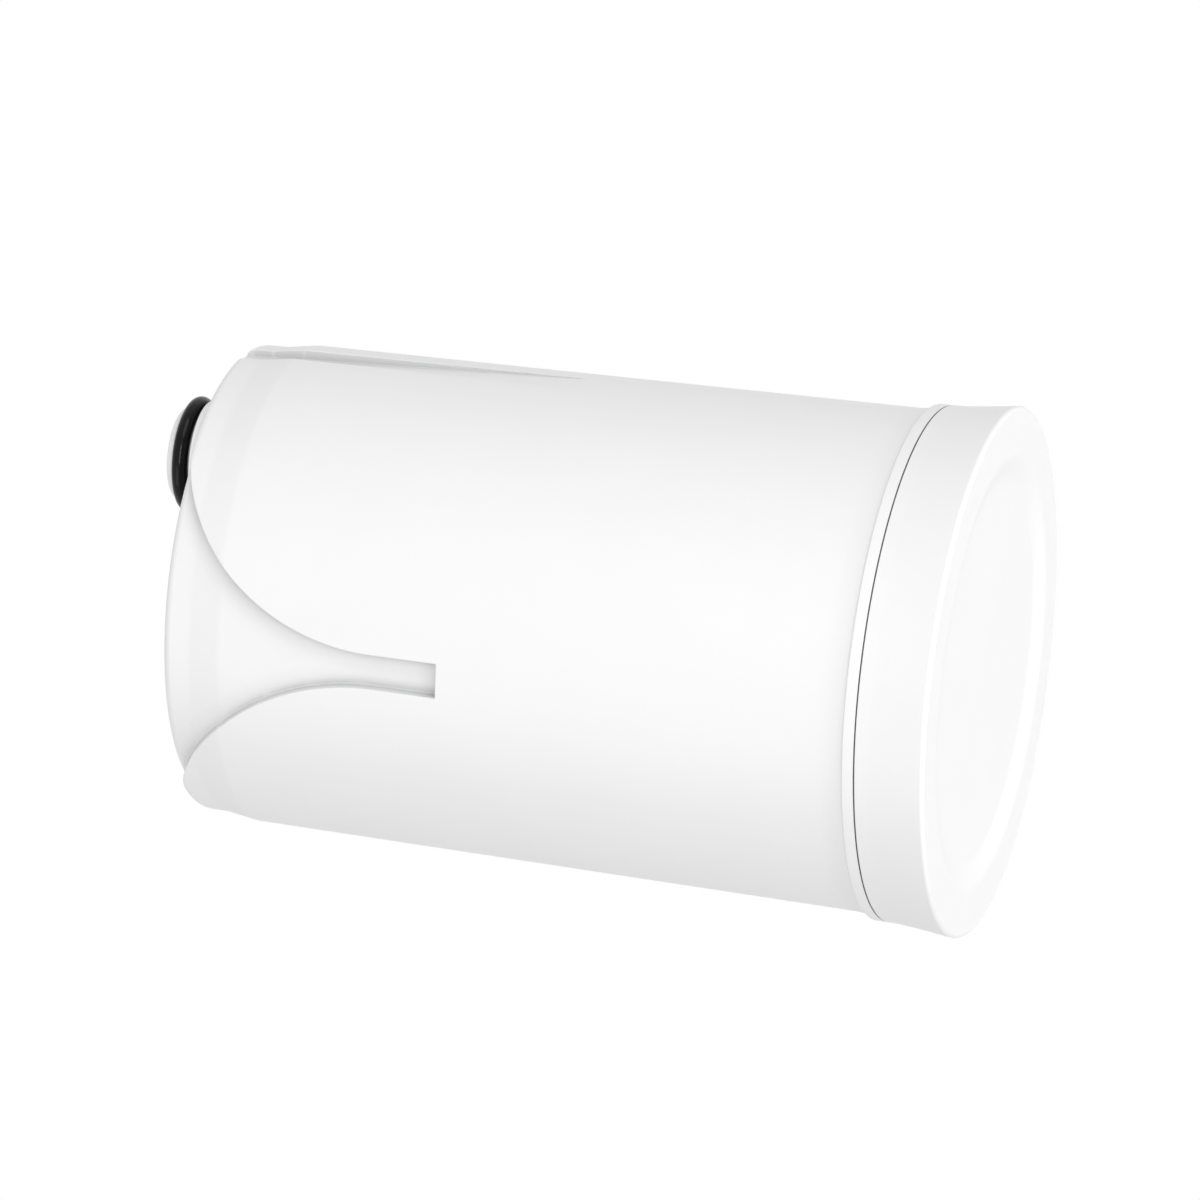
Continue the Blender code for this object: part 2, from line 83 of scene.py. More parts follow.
def wall_outline():
    """The outer wall from seam to end face, as (distance along it, radius, height)."""
    points = [(joint_radius, seam_height + edge_break), (joint_radius, flange_top - edge_break)]
    points += arc((joint_radius - edge_break, flange_top - edge_break), edge_break, 30.0, 60.0, 1)
    fillet_top = flange_top + fillet_height
    rise = joint_radius - edge_break - wall_radius(fillet_top)
    fillet_rows = 12
    for index in range(fillet_rows, -1, -1):
        turn = math.radians(90.0) * index / fillet_rows
        points.append((wall_radius(fillet_top) + rise * (1.0 - math.cos(turn)),
                       fillet_top - fillet_height * math.sin(turn)))
    wall_rows = 14
    for index in range(1, wall_rows + 1):
        height = fillet_top + (shoulder_start - shoulder_blend - fillet_top) * index / wall_rows
        points.append((wall_radius(height), height))
    drop = wall_radius(shoulder_start) - wall_radius(shoulder_end) + shoulder_step
    slope = drop / (shoulder_end - shoulder_start)
    after = wall_radius(shoulder_start) - slope * shoulder_blend
    points.append(((wall_radius(shoulder_start) * 2 + points[-1][0] + after) / 4, shoulder_start))
    points.append((after, shoulder_start + shoulder_blend))
    low = wall_radius(shoulder_end) - shoulder_step
    before = low + slope * shoulder_blend
    points.append((before, shoulder_end - shoulder_blend))
    beyond = low - wall_draft * shoulder_blend
    points.append(((low * 2 + before + beyond) / 4, shoulder_end))
    points.append((beyond, shoulder_end + shoulder_blend))
    end_radius = wall_radius(housing_height) - shoulder_step
    centre = (end_radius - end_rounding, housing_height - end_rounding)
    points += arc(centre, end_rounding, 0.0, 90.0, 9)
    along = points[0][1]
    outline = [(along, *points[0])]
    for first, second in zip(points, points[1:]):
        along += math.dist(first, second)
        outline.append((along, *second))
    return outline


outline = wall_outline()


def along_at(height):
    """Distance along the outline at which the wall has this height."""
    for (before, _, low), (after, _, high) in zip(outline, outline[1:]):
        if low <= height <= high and high > low:
            return before + (after - before) * (height - low) / (high - low)
    return outline[-1][0]


def wall_at(along):
    """Radius and height at this distance along the outline."""
    for (before, radius, height), (after, next_radius, next_height) in zip(outline, outline[1:]):
        if along <= after:
            share = (along - before) / (after - before)
            return radius + (next_radius - radius) * share, height + (next_height - height) * share
    return outline[-1][1:]


sheet_end = outline[-1][0]
sheet_over = 0.0003          # the sheet reaches this far past the end wall, and is trimmed there later
sheet_cut_angle = 50.0       # its two edges meet here, clear of every guide
recess_edge_angle = 40.0     # edges that fold more than this are the guides', and get rounded


def funnel_side():
    """One side of a funnel guide, from the slot's foot out to the end wall, as (width, distance along)."""
    flare_start = housing_height - flare_radius
    points = [(slot_half_width, along_at(slot_foot))]
    flare_steps = 44
    for index in range(flare_steps + 1):
        turn = math.radians(90.0) * index / flare_steps
        points.append((slot_half_width + flare_radius * (1.0 - math.cos(turn)),
                       along_at(flare_start + flare_radius * math.sin(turn))))
    (wide_a, along_a), (wide_b, along_b) = points[-2:]
    points.append((wide_b + sheet_over * (wide_b - wide_a) / (along_b - along_a), along_b + sheet_over))
    return points


def ramp_side():
    """One side of a ramped guide, given in the same way."""
    return [(slot_half_width, along_at(ramp_foot)), (slot_half_width, sheet_end + sheet_over)]


# the wall is drawn flat, as width, distance along the outline and height over the surface
wall = bmesh.new()
sheet_right = math.radians(sheet_cut_angle) * guide_radius
sheet_left = sheet_right - math.tau * guide_radius
rim = [wall.verts.new((sheet_left, outline[0][0], 0.0)),
       wall.verts.new((sheet_right, outline[0][0], 0.0)),
       wall.verts.new((sheet_right, sheet_end + sheet_over, 0.0))]
guide_faces = []
for angle, kind in guides:
    middle = math.radians(angle) * guide_radius
    side = funnel_side() if kind == "funnel" else ramp_side()
    right = [wall.verts.new((middle + across, along, 0.0)) for across, along in reversed(side)]
    left = [wall.verts.new((middle - across, along, 0.0)) for across, along in side]
    rim += right + left
    guide_faces.append((wall.faces.new(left[::-1] + right[::-1]), kind))
rim.append(wall.verts.new((sheet_left, sheet_end + sheet_over, 0.0)))
wall.faces.new(rim)
bmesh.ops.recalc_face_normals(wall, faces=wall.faces)
if wall.faces[:][-1].normal.z < 0:
    bmesh.ops.reverse_faces(wall, faces=wall.faces)
for face, kind in guide_faces:
    made = bmesh.ops.extrude_face_region(wall, geom=[face])
    floor_corners = [item for item in made["geom"] if isinstance(item, bmesh.types.BMVert)]
    depth = guide_depth if kind == "funnel" else ramp_depth
    bmesh.ops.translate(wall, verts=floor_corners, vec=(0.0, 0.0, -depth))
    if face.is_valid:
        bmesh.ops.delete(wall, geom=[face], context="FACES_ONLY")
loose_end = [face for face in wall.faces
             if all(corner.co.y > sheet_end + sheet_over / 2 for corner in face.verts)]
bmesh.ops.delete(wall, geom=loose_end, context="FACES_ONLY")
recess_edges = [edge for edge in wall.edges if len(edge.link_faces) == 2
                and edge.calc_face_angle() > math.radians(recess_edge_angle)]
bmesh.ops.bevel(wall, geom=recess_edges, offset=guide_edge_radius, offset_type="OFFSET", segments=3,
                profile=0.5, affect="EDGES", material=-1, clamp_overlap=False,
                miter_outer="SHARP", miter_inner="SHARP")
slice_snap = 0.0000002       # corners nearer a cut than this lie on it
join_snap = 0.0000005        # corners nearer each other than this are one
sheet_join_snap = 0.000001   # the same where the sheet's two edges meet


def slice_wall(place, direction, trim=False):
    """Cuts the flat wall along a line, so that it can bend there. A trim drops what lies beyond it."""
    everything = wall.verts[:] + wall.edges[:] + wall.faces[:]
    bmesh.ops.bisect_plane(wall, geom=everything, dist=slice_snap, plane_co=place, plane_no=direction,
                           clear_outer=trim)


wall_columns = 180
for index in range(1, wall_columns):
    across = sheet_left + (sheet_right - sheet_left) * index / wall_columns
    slice_wall((across, 0.0, 0.0), (1.0, 0.0, 0.0))
for along, _, _ in outline[1:-1]:
    slice_wall((0.0, along, 0.0), (0.0, 1.0, 0.0))
slice_wall((0.0, sheet_end, 0.0), (0.0, 1.0, 0.0), trim=True)
# the flat wall is wrapped round the cone
ramp_middles = [math.radians(angle) * guide_radius for angle, kind in guides if kind == "ramp"]
for corner in wall.verts:
    across, along, over = corner.co
    radius, height = wall_at(along)
    if any(abs(across - middle) < 2 * slot_half_width for middle in ramp_middles):
        # a ramp's floor is straight: it sinks evenly and takes no notice of the shoulder
        share = max(0.0, (height - ramp_foot) / (housing_height - ramp_foot))
        floor_radius = min(radius, wall_radius(height) - ramp_depth * share)
        over *= (radius - floor_radius) / ramp_depth
    turn = across / guide_radius
    corner.co = ((radius + over) * math.sin(turn), -(radius + over) * math.cos(turn), height)
bmesh.ops.remove_doubles(wall, verts=wall.verts, dist=sheet_join_snap)


def open_loop(shape, height):
    """Edges of the open boundary at this height."""
    level = 0.000002
    return [edge for edge in shape.edges
            if edge.is_boundary and all(abs(corner.co.z - height) < level for corner in edge.verts)]


def carry_on(shape, edges, radius, height):
    """Extrudes a round boundary to a new radius and height, and returns the new boundary."""
    made = bmesh.ops.extrude_edge_only(shape, edges=edges)["geom"]
    for corner in (item for item in made if isinstance(item, bmesh.types.BMVert)):
        scale = radius / corner.co.xy.length
        corner.co = (corner.co.x * scale, corner.co.y * scale, height)
    return [item for item in made if isinstance(item, bmesh.types.BMEdge) and item.is_boundary]


mouth_radius = wall_radius(seam_height) - wall_thickness
inner_end = housing_height - wall_thickness
inner_end_radius = wall_radius(inner_end) - wall_thickness - shoulder_step
mouth = open_loop(wall, outline[0][2])
edge_middle = edge_break * 0.3   # how far the middle of the seam's rounded edge lies inside its corner
for radius, height in ((joint_radius - edge_middle, seam_height + edge_middle),
                       (joint_radius - edge_break, seam_height),
                       (mouth_radius + tongue_thickness, seam_height),
                       (mouth_radius + tongue_thickness, tongue_foot),
                       (mouth_radius, tongue_foot),
                       (inner_end_radius, inner_end)):
    mouth = carry_on(wall, mouth, radius, height)

groove_radius = 0.0047
lip_radius = 0.0054
lip_rounding = 0.0007
spigot_radius = 0.0064
groove_foot = 0.09394
groove_top = 0.09608
port_tip = 0.09702
port_bore = 0.0033
screen_seat_radius = 0.0039
screen_seat_top = 0.0888
foot_fillet = 0.0005
spigot_rounding = 0.0002
groove_corner = 0.0001
lip_foot_rounding = 0.00015
bore_rounding = 0.00025
spigot = arc((spigot_radius + foot_fillet, housing_height + foot_fillet), foot_fillet, 270.0, 180.0, 4)
spigot += arc((spigot_radius - spigot_rounding, groove_foot - spigot_rounding),
              spigot_rounding, 0.0, 90.0, 3)
spigot += [(groove_radius + groove_corner, groove_foot), (groove_radius, groove_foot + groove_corner)]
spigot += [(groove_radius, groove_top - groove_corner), (groove_radius + groove_corner, groove_top)]
spigot += arc((lip_radius - lip_foot_rounding, groove_top + lip_foot_rounding),
              lip_foot_rounding, -90.0, 0.0, 2)
spigot += arc((lip_radius - lip_rounding, port_tip - lip_rounding), lip_rounding, 0.0, 90.0, 6)
spigot += arc((port_bore + bore_rounding, port_tip - bore_rounding), bore_rounding, 90.0, 180.0, 4)
spigot += [(port_bore, screen_seat_top), (screen_seat_radius, screen_seat_top),
           (screen_seat_radius, inner_end)]


def port_place(side):
    """The middle of this side's port, at height zero."""
    turn = math.radians(port_angles[side])
    return Vector((port_offset * math.sin(turn), -port_offset * math.cos(turn), 0.0))


def spin_profile(shape, points, steps, place=Vector()):
    """Turns a chain of points (radius, height) once round a vertical axis."""
    corners = [shape.verts.new((place.x + radius, place.y, height)) for radius, height in points]
    edges = [shape.edges.new(pair) for pair in zip(corners, corners[1:])]
    bmesh.ops.spin(shape, geom=corners + edges, cent=place, axis=(0.0, 0.0, 1.0), angle=math.tau,
                   steps=steps, use_merge=True)


for side in port_angles:
    spin_profile(wall, spigot, port_steps, port_place(side))
for height in (housing_height, inner_end):
    bmesh.ops.triangle_fill(wall, use_beauty=True, edges=open_loop(wall, height))
bmesh.ops.remove_doubles(wall, verts=wall.verts, dist=join_snap)
bmesh.ops.recalc_face_normals(wall, faces=wall.faces)


def add_piece(name, shape, replaced, sharp_angle=40.0):
    """Makes a finished mesh a piece of the cartridge, in place of a CAD node."""
    mesh = bpy.data.meshes.new(name)
    shape.to_mesh(mesh)
    shape.free()
    mesh.shade_smooth()
    mesh.set_sharp_from_angle(angle=math.radians(sharp_angle))
    piece = bpy.data.objects.new(name, mesh)
    bpy.context.scene.collection.objects.link(piece)
    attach(piece, "root")
    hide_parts(replaced)
    return piece


def even_normals(piece):
    """Large faces keep their own normal beside the narrow faces of a rounded edge."""
    weighted = piece.modifiers.new("even_normals", "WEIGHTED_NORMAL")
    weighted.mode = "FACE_AREA"
    weighted.keep_sharp = True


housing = add_piece("housing_moulding", wall, "housing_body")
even_normals(housing)


def linear(code):
    """A colour written as sRGB hex, turned to the linear values that the shader takes."""
    channels = [int(code[place:place + 2], 16) / 255 for place in (1, 3, 5)]
    return tuple(c / 12.92 if c <= 0.04045 else ((c + 0.055) / 1.055) ** 2.4 for c in channels) + (1.0,)


def add_node(material, kind, sockets, **settings):
    """One shader node: its settings, then its sockets, each a value or the output that it is linked to."""
    item = material.node_tree.nodes.new(kind)
    for name, value in settings.items():
        setattr(item, name, value)
    for name, value in sockets.items():
        if isinstance(value, bpy.types.NodeSocket):
            material.node_tree.links.new(value, item.inputs[name])
        else:
            item.inputs[name].default_value = value
    return item


def new_material(name, sockets):
    """A material with its surface shader, whose constant sockets are set here."""
    material = bpy.data.materials.new(name)
    material.use_nodes = True
    shader = material.node_tree.nodes["Principled BSDF"]
    for socket, value in sockets.items():
        shader.inputs[socket].default_value = value
    place = add_node(material, "ShaderNodeTexCoord", {}).outputs["Object"]
    return material, shader, place


def moulded_plastic(name, light, dark, corner, roughness):
    """White polypropylene from a spark-eroded mould: satin, with a grain far finer than a millimetre,
    a faint cloudiness where the melt cooled unevenly, and painted shade that greys its corners and recesses."""
    material, shader, place = new_material(name, {"IOR": 1.49})
    links = material.node_tree.links
    cloud_size = 0.009
    grain_size = 0.00035
    corner_reach = 0.0027
    cloud = add_node(material, "ShaderNodeTexNoise",
                     {"Vector": place, "Scale": 1 / cloud_size, "Detail": 2.0, "Roughness": 0.5})
    tone = add_node(material, "ShaderNodeMix", {"Factor": cloud.outputs["Fac"]}, data_type="RGBA")
    tone.inputs["A"].default_value = linear(dark)
    tone.inputs["B"].default_value = linear(light)
    # painted shade: where ambient occlusion finds the surface hemmed in, its colour turns to the corner grey
    openness = add_node(material, "ShaderNodeAmbientOcclusion", {"Distance": corner_reach}, samples=8)
    unshaded_share = add_node(material, "ShaderNodeMapRange",
                     {"Value": openness.outputs["AO"], "From Min": 0.25, "From Max": 0.95})
    painted_corner_shade = add_node(material, "ShaderNodeMix", {"Factor": unshaded_share.outputs["Result"]}, data_type="RGBA")
    painted_corner_shade.inputs["A"].default_value = linear(corner)
    links.new(tone.outputs["Result"], painted_corner_shade.inputs["B"])
    links.new(painted_corner_shade.outputs["Result"], shader.inputs["Base Color"])
    grain = add_node(material, "ShaderNodeTexNoise",
                     {"Vector": place, "Scale": 1 / grain_size, "Detail": 3.0, "Roughness": 0.6})
    satin = add_node(material, "ShaderNodeMapRange",
                     {"Value": grain.outputs["Fac"], "To Min": roughness - 0.05, "To Max": roughness + 0.05})
    links.new(satin.outputs["Result"], shader.inputs["Roughness"])
    relief = add_node(material, "ShaderNodeBump",
                      {"Height": grain.outputs["Fac"], "Strength": 0.25, "Distance": 0.00002})
    links.new(relief.outputs["Normal"], shader.inputs["Normal"])
    return material


# the third colour is painted shade for corners and recesses
white_plastic = moulded_plastic("moulded_white_polypropylene", "#f6f6f6", "#f3f3f3", "#afafb1", 0.42)
housing.data.materials.append(white_plastic)


# End cap: moulded in the same polypropylene, with a rounded rim, a side wall that flares out to it and a
# shallow dished face. Its groove takes the housing's tongue, and the two are welded all round.
cap_radius = 0.03035
cap_height = 0.00815
cap_rim_rounding = 0.0005
cap_flare_height = 0.0075
cap_flare_curve = 1.25
cap_rim_land = 0.00515
cap_slope_width = 0.0036
cap_dish_depth = 0.0009
cap_floor = 0.0033
cap_skirt_height = 0.0145
cap_skirt_thickness = 0.0020
cap_fit_gap = 0.0003
cap_skirt_radius = mouth_radius - cap_fit_gap
cap_skirt_inner = cap_skirt_radius - cap_skirt_thickness
cap_groove_floor = 0.0026
cap_groove_outer = mouth_radius + tongue_thickness + cap_fit_gap
cap_flare_rows = 14
cap_slope_rows = 16
cap_middle_ring = 0.010
cap_steps = 180

cap_points = [(0.0, cap_floor), (cap_skirt_inner, cap_floor), (cap_skirt_inner, cap_skirt_height),
              (cap_skirt_radius, cap_skirt_height), (cap_skirt_radius, cap_groove_floor),
              (cap_groove_outer, cap_groove_floor), (cap_groove_outer, cap_height)]
cap_points += arc((joint_radius - edge_break, cap_height - edge_break), edge_break, 90.0, 0.0, 3)
for index in range(1, cap_flare_rows + 1):
    share = index / cap_flare_rows
    cap_points.append((joint_radius + (cap_radius - joint_radius) * share ** cap_flare_curve,
                       cap_flare_height + (cap_rim_rounding - cap_flare_height) * share))
cap_points += arc((cap_radius - cap_rim_rounding, cap_rim_rounding), cap_rim_rounding, 0.0, -90.0, 8)[1:]
for index in range(cap_slope_rows + 1):
    share = index / cap_slope_rows
    cap_points.append((cap_radius - cap_rim_land - cap_slope_width * share,
                       cap_dish_depth * (1.0 - math.cos(math.pi * share)) / 2))
cap_points += [(cap_middle_ring, cap_dish_depth), (0.0, cap_dish_depth)]
cap = bmesh.new()
spin_profile(cap, cap_points, cap_steps)
bmesh.ops.remove_doubles(cap, verts=cap.verts, dist=join_snap)
bmesh.ops.recalc_face_normals(cap, faces=cap.faces)
end_cap = add_piece("end_cap_moulding", cap, "end_cap")
even_normals(end_cap)
end_cap.data.materials.append(white_plastic)


# Port O-rings: black nitrile rubber with a 1.78 mm cord, moulded as rings and rolled into the spigots'
# grooves. They seal the ports in the bores of the filter head.
cord_radius = 0.00089
ring_centre_radius = 0.00589
ring_height = 0.09513
cord_steps = 28
ring_steps = 96


def moulded_rubber(name, code, roughness):
    """Nitrile rubber from a polished mould: near black, smooth, with a soft highlight along the cord and a
    trace of talc from the packing that greys it unevenly."""
    material, shader, place = new_material(name, {"IOR": 1.52, "Specular IOR Level": 0.15})
    links = material.node_tree.links
    talc_size = 0.0016
    talc = add_node(material, "ShaderNodeTexNoise",
                    {"Vector": place, "Scale": 1 / talc_size, "Detail": 4.0, "Roughness": 0.6})
    tone = add_node(material, "ShaderNodeMix", {"Factor": talc.outputs["Fac"]}, data_type="RGBA")
    tone.inputs["A"].default_value = linear(code)
    tone.inputs["B"].default_value = linear("#111112")
    links.new(tone.outputs["Result"], shader.inputs["Base Color"])
    dull = add_node(material, "ShaderNodeMapRange",
                    {"Value": talc.outputs["Fac"], "To Min": roughness - 0.04, "To Max": roughness + 0.08})
    links.new(dull.outputs["Result"], shader.inputs["Roughness"])
    relief = add_node(material, "ShaderNodeBump",
                      {"Height": talc.outputs["Fac"], "Strength": 0.2, "Distance": 0.00002})
    links.new(relief.outputs["Normal"], shader.inputs["Normal"])
    return material


black_rubber = moulded_rubber("moulded_nitrile_rubber", "#080809", 0.15)
for side in port_angles:
    ring = bmesh.new()
    section = arc((ring_centre_radius, ring_height), cord_radius, 0.0, 360.0, cord_steps)[:-1]
    port = port_place(side)
    corners = [ring.verts.new((port.x + radius, port.y, height)) for radius, height in section]
    edges = [ring.edges.new(pair) for pair in zip(corners, corners[1:] + corners[:1])]
    bmesh.ops.spin(ring, geom=corners + edges, cent=port, axis=(0.0, 0.0, 1.0), angle=math.tau,
                   steps=ring_steps, use_merge=True)
    bmesh.ops.recalc_face_normals(ring, faces=ring.faces)
    o_ring = add_piece(side + "_o_ring", ring, side + "_port_o_ring")
    o_ring.data.materials.append(black_rubber)


# Port screens: discs of woven stainless wire, pressed into a seat behind each port, which keep grains of
# carbon in the cartridge. Each wire passes over and under the ones that it crosses.
screen_radius = 0.0036
screen_height = 0.0882
wire_radius = 0.00011
wire_pitch = 0.0006
wire_sides = 6
wire_rows_per_pitch = 6
border_radius = 0.00018      # the round border that holds the ends of the wires
border_inset = 0.00012
border_steps = 48


def woven_steel(name, code, roughness):
    """Drawn stainless wire: bright metal with fine draw marks, a little duller where wires rub."""
    material, shader, place = new_material(name, {"Metallic": 1.0})
    links = material.node_tree.links
    mark_size = 0.0003
    marks = add_node(material, "ShaderNodeTexNoise",
                     {"Vector": place, "Scale": 1 / mark_size, "Detail": 3.0, "Roughness": 0.6})
    tone = add_node(material, "ShaderNodeMix", {"Factor": marks.outputs["Fac"]}, data_type="RGBA")
    tone.inputs["A"].default_value = linear(code)
    tone.inputs["B"].default_value = linear("#8f9092")
    links.new(tone.outputs["Result"], shader.inputs["Base Color"])
    dull = add_node(material, "ShaderNodeMapRange",
                    {"Value": marks.outputs["Fac"], "To Min": roughness - 0.08, "To Max": roughness + 0.12})
    links.new(dull.outputs["Result"], shader.inputs["Roughness"])
    return material


def add_wire(shape, centre, offset, crosswise, phase):
    """One waved wire of the cloth, closed at both ends."""
    half = math.sqrt(screen_radius ** 2 - offset ** 2) - wire_radius
    steps = max(4, int(half * 2 / wire_pitch * wire_rows_per_pitch))
    spine = []
    for index in range(steps + 1):
        run = -half + 2 * half * index / steps
        wave = wire_radius * math.cos(math.pi * run / wire_pitch + phase)
        spine.append(Vector((offset, run, wave) if crosswise else (run, offset, wave)) + centre)
    across = Vector((1.0, 0.0, 0.0) if crosswise else (0.0, 1.0, 0.0)) * wire_radius
    rise = Vector((0.0, 0.0, wire_radius))
    turns = [math.tau * index / wire_sides for index in range(wire_sides)]
    loop = [shape.verts.new(spine[0] + across * math.cos(turn) + rise * math.sin(turn)) for turn in turns]
    bmesh.ops.reverse_faces(shape, faces=[shape.faces.new(loop)])
    edges = [shape.edges.get(pair) for pair in zip(loop, loop[1:] + loop[:1])]
    for before, after in zip(spine, spine[1:]):
        made = bmesh.ops.extrude_edge_only(shape, edges=edges)["geom"]
        edges = [item for item in made if isinstance(item, bmesh.types.BMEdge) and item.is_boundary]
        moved = [item for item in made if isinstance(item, bmesh.types.BMVert)]
        bmesh.ops.translate(shape, verts=moved, vec=after - before)
    bmesh.ops.edgeloop_fill(shape, edges=edges)


steel = woven_steel("woven_stainless_wire", "#c2c3c5", 0.32)
for side in port_angles:
    cloth = bmesh.new()
    centre = port_place(side) + Vector((0.0, 0.0, screen_height))
    count = int((screen_radius - wire_radius) / wire_pitch)
    for index in range(-count, count + 1):
        phase = math.pi * (index % 2)
        add_wire(cloth, centre, index * wire_pitch, False, phase)
        add_wire(cloth, centre, index * wire_pitch, True, phase + math.pi)
    border = arc((screen_radius - border_inset, screen_height), border_radius, 0.0, 360.0, 8)
    spin_profile(cloth, border, border_steps, port_place(side))
    bmesh.ops.remove_doubles(cloth, verts=cloth.verts, dist=join_snap)
    bmesh.ops.recalc_face_normals(cloth, faces=cloth.faces)
    screen = add_piece(side + "_wire_screen", cloth, side + "_screen")
    screen.data.materials.append(steel)


def finish_nodes(names, material):
    """Gives CAD nodes whose shape is right their finished material."""
    for name in names:
        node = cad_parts[name]
        node.data.materials.clear()
        node.data.materials.append(material)


# Seals inside: the flat ring in the cap's groove, the gasket under the end wall and the ring on the block's
# neck, cut or moulded in the same rubber and held by the pieces round them.
finish_nodes(("cap_seal_ring", "manifold_gasket", "neck_o_ring"), black_rubber)


# Inner mouldings: channel plate, both end plates of the block and its perforated core tube, all in natural
# polypropylene, a little yellower than the housing because it has no white pigment.
# the third colour is painted shade for corners and recesses
natural_plastic = moulded_plastic("moulded_natural_polypropylene", "#eceae4", "#e6e4dc", "#b8b6ae", 0.38)
finish_nodes(("manifold_plate", "outlet_end_plate", "closed_end_plate", "core_tube"), natural_plastic)


# Carbon block: activated carbon grains sintered with a binder and extruded as a hollow block. Matt black
# grains of about half a millimetre, with a few that glint.
def sintered_carbon(name):
    material, shader, place = new_material(name, {"IOR": 1.5})
    links = material.node_tree.links
    grain_size = 0.0005
    grains = add_node(material, "ShaderNodeTexVoronoi", {"Vector": place, "Scale": 1 / grain_size})
    tone = add_node(material, "ShaderNodeMix", {"Factor": grains.outputs["Distance"]}, data_type="RGBA")
    tone.inputs["A"].default_value = linear("#2b2b2c")
    tone.inputs["B"].default_value = linear("#0e0e0f")
    links.new(tone.outputs["Result"], shader.inputs["Base Color"])
    dull = add_node(material, "ShaderNodeMapRange",
                    {"Value": grains.outputs["Color"], "To Min": 0.55, "To Max": 0.95})
    links.new(dull.outputs["Result"], shader.inputs["Roughness"])
    relief = add_node(material, "ShaderNodeBump",
                      {"Height": grains.outputs["Distance"], "Strength": 0.8, "Distance": 0.0002}, invert=True)
    links.new(relief.outputs["Normal"], shader.inputs["Normal"])
    return material


finish_nodes(("carbon_block",), sintered_carbon("sintered_activated_carbon"))


# Fleeces: spun-bonded polyester wrapped round the block and rolled into its bore. White felted fibres with
# no gloss and a nap of a few tenths of a millimetre.
def spun_fleece(name):
    material, shader, place = new_material(name, {"Roughness": 0.95, "Sheen Weight": 0.25, "IOR": 1.5})
    links = material.node_tree.links
    fibre_size = 0.0004
    fibres = add_node(material, "ShaderNodeTexNoise",
                      {"Vector": place, "Scale": 1 / fibre_size, "Detail": 6.0, "Roughness": 0.7,
                       "Distortion": 1.5})
    tone = add_node(material, "ShaderNodeMix", {"Factor": fibres.outputs["Fac"]}, data_type="RGBA")
    tone.inputs["A"].default_value = linear("#d9d9d4")
    tone.inputs["B"].default_value = linear("#f4f4f0")
    links.new(tone.outputs["Result"], shader.inputs["Base Color"])
    relief = add_node(material, "ShaderNodeBump",
                      {"Height": fibres.outputs["Fac"], "Strength": 0.6, "Distance": 0.00015})
    links.new(relief.outputs["Normal"], shader.inputs["Normal"])
    return material


finish_nodes(("prefilter_fleece", "core_fleece"), spun_fleece("spun_polyester_fleece"))


# Netting sleeve: extruded low-density polyethylene net that keeps the fleece on the block. Milky and waxy.
# the third colour is painted shade for corners and recesses
net_plastic = moulded_plastic("extruded_polyethylene_net", "#f0f1ef", "#e2e4e3", "#b6b8b7", 0.50)
finish_nodes(("netting_sleeve",), net_plastic)


# End seals: hot-melt adhesive that bonds the block to its end plates. Amber-white, smooth and slightly soft.
# the third colour is painted shade for corners and recesses
hot_melt = moulded_plastic("cast_hot_melt_adhesive", "#e4ddc8", "#d8cfb4", "#b0a88e", 0.30)
finish_nodes(("outlet_end_seal", "closed_end_seal"), hot_melt)


# Floor: a wide pale studio table. It shows from above only and lights nothing, so that the cap's face,
# which the photograph sees from below the table, is lit as in the air.
table_radius = 3.0
table = bmesh.new()
bmesh.ops.create_circle(table, cap_ends=True, segments=96, radius=table_radius)
table_mesh = bpy.data.meshes.new("studio_table")
table.to_mesh(table_mesh)
table.free()
floor = bpy.data.objects.new("studio_table", table_mesh)
bpy.context.scene.collection.objects.link(floor)
floor.visible_diffuse = False
floor.visible_glossy = False
floor.visible_transmission = False
floor.visible_shadow = False
# matt studio paper: even and pale, so that the shadow reads, and clear from below
paper = bpy.data.materials.new("pale_table")
paper.use_nodes = True
paper.node_tree.nodes.clear()
matt = add_node(paper, "ShaderNodeBsdfDiffuse", {"Color": linear("#f4f4f4")})
clear = add_node(paper, "ShaderNodeBsdfTransparent", {})
under = add_node(paper, "ShaderNodeNewGeometry", {})
one_sided = add_node(paper, "ShaderNodeMixShader", {"Fac": under.outputs["Backfacing"]})
paper.node_tree.links.new(matt.outputs[0], one_sided.inputs[1])
paper.node_tree.links.new(clear.outputs[0], one_sided.inputs[2])
add_node(paper, "ShaderNodeOutputMaterial", {"Surface": one_sided.outputs[0]})
table_mesh.materials.append(paper)


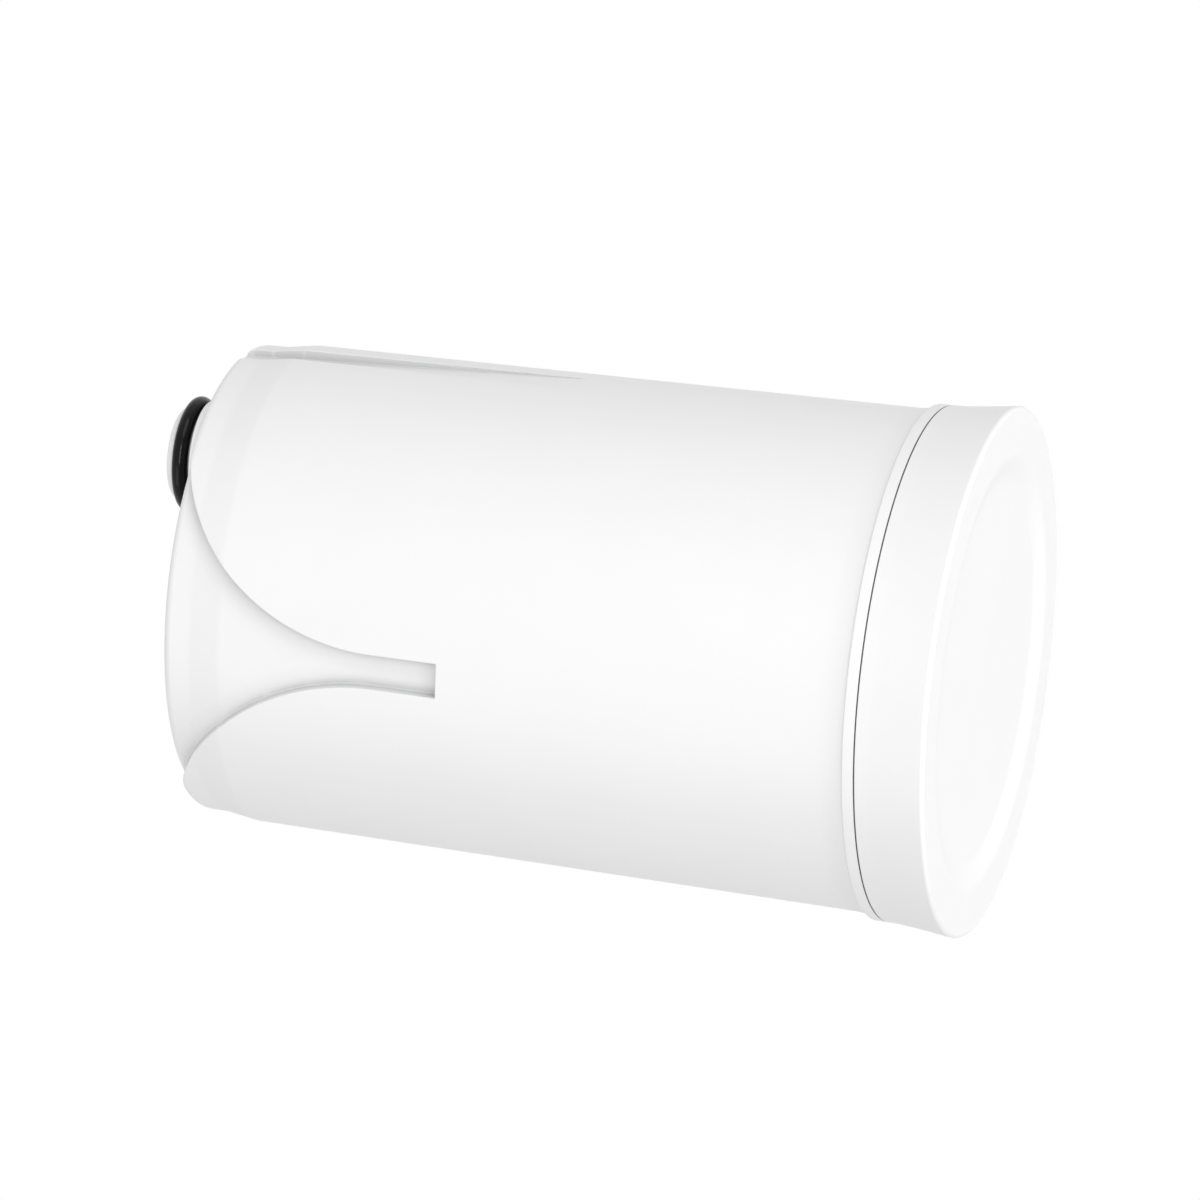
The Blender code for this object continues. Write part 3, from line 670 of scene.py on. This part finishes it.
# Light: a white surround that fills every side evenly, soft lamps for the top, the cap's face and the lower
# side, and a strip lamp in front, which draws the highlight along the O-ring. The surround is plain white
# to the camera and in reflections.
fill_strength = 0.48
white = (1.0, 1.0, 1.0, 1.0)
world = bpy.data.worlds.new("white_surround")
bpy.context.scene.world = world
world.use_nodes = True
world.node_tree.nodes.clear()
ray = add_node(world, "ShaderNodeLightPath", {})
mirrored = add_node(world, "ShaderNodeMath",
                    {0: ray.outputs["Is Glossy Ray"], 1: ray.outputs["Is Transmission Ray"]},
                    operation="MAXIMUM")
seen = add_node(world, "ShaderNodeMath",
                {0: ray.outputs["Is Camera Ray"], 1: mirrored.outputs[0]}, operation="MAXIMUM")
fill_light = add_node(world, "ShaderNodeBackground", {"Color": white, "Strength": fill_strength})
white_light = add_node(world, "ShaderNodeBackground", {"Color": white, "Strength": 1.0})
surround = add_node(world, "ShaderNodeMixShader", {"Fac": seen.outputs[0]})
world.node_tree.links.new(fill_light.outputs[0], surround.inputs[1])
world.node_tree.links.new(white_light.outputs[0], surround.inputs[2])
add_node(world, "ShaderNodeOutputWorld", {"Surface": surround.outputs[0]})

lamp_aim = Vector((0.0, 0.0, 0.045))
lamp_distance = 0.9


def add_lamp(name, direction, breadth, height, power):
    """A soft lamp that points at the middle of the cartridge, on this side of it."""
    lamp = bpy.data.lights.new(name, "AREA")
    lamp.shape = "RECTANGLE"
    lamp.size = breadth
    lamp.size_y = height
    lamp.energy = power
    item = bpy.data.objects.new(name, lamp)
    bpy.context.scene.collection.objects.link(item)
    away = Vector(direction).normalized()
    item.location = lamp_aim + away * lamp_distance
    item.rotation_euler = away.to_track_quat("Z", "Y").to_euler()
    item.visible_camera = False


add_lamp("key_lamp", (0.74, -0.60, -0.32), 0.6, 0.6, 2.35)
add_lamp("front_lamp", (-0.06, -0.97, -0.24), 0.6, 0.1, 2.5)
add_lamp("cap_lamp", (-0.10, -0.05, -0.99), 0.6, 0.6, 3.5)
add_lamp("low_lamp", (-0.72, -0.62, 0.30), 0.6, 0.6, 1.4)


# Camera: a long lens at the photograph's viewing angle, level with the cartridge's side and a little beyond
# its cap, and turned so that the cartridge lies across the picture.
camera_data = bpy.data.cameras.new("photo_camera")
camera_data.sensor_width = 36.0
camera_data.lens = 255.0
camera_data.clip_start = 0.01
camera_data.clip_end = 20.0
camera = bpy.data.objects.new("photo_camera", camera_data)
bpy.context.scene.collection.objects.link(camera)
camera_place = (0.000055, -0.940092, -0.210055)
camera_right = Vector((0.12656, 0.26107, -0.95699))
camera_up = Vector((0.99196, -0.03583, 0.12141))
camera_turn = Matrix((camera_right, camera_up, camera_right.cross(camera_up))).transposed()
camera.matrix_world = Matrix.Translation(camera_place) @ camera_turn.to_4x4()
bpy.context.scene.camera = camera
bpy.context.scene.view_settings.view_transform = "Standard"
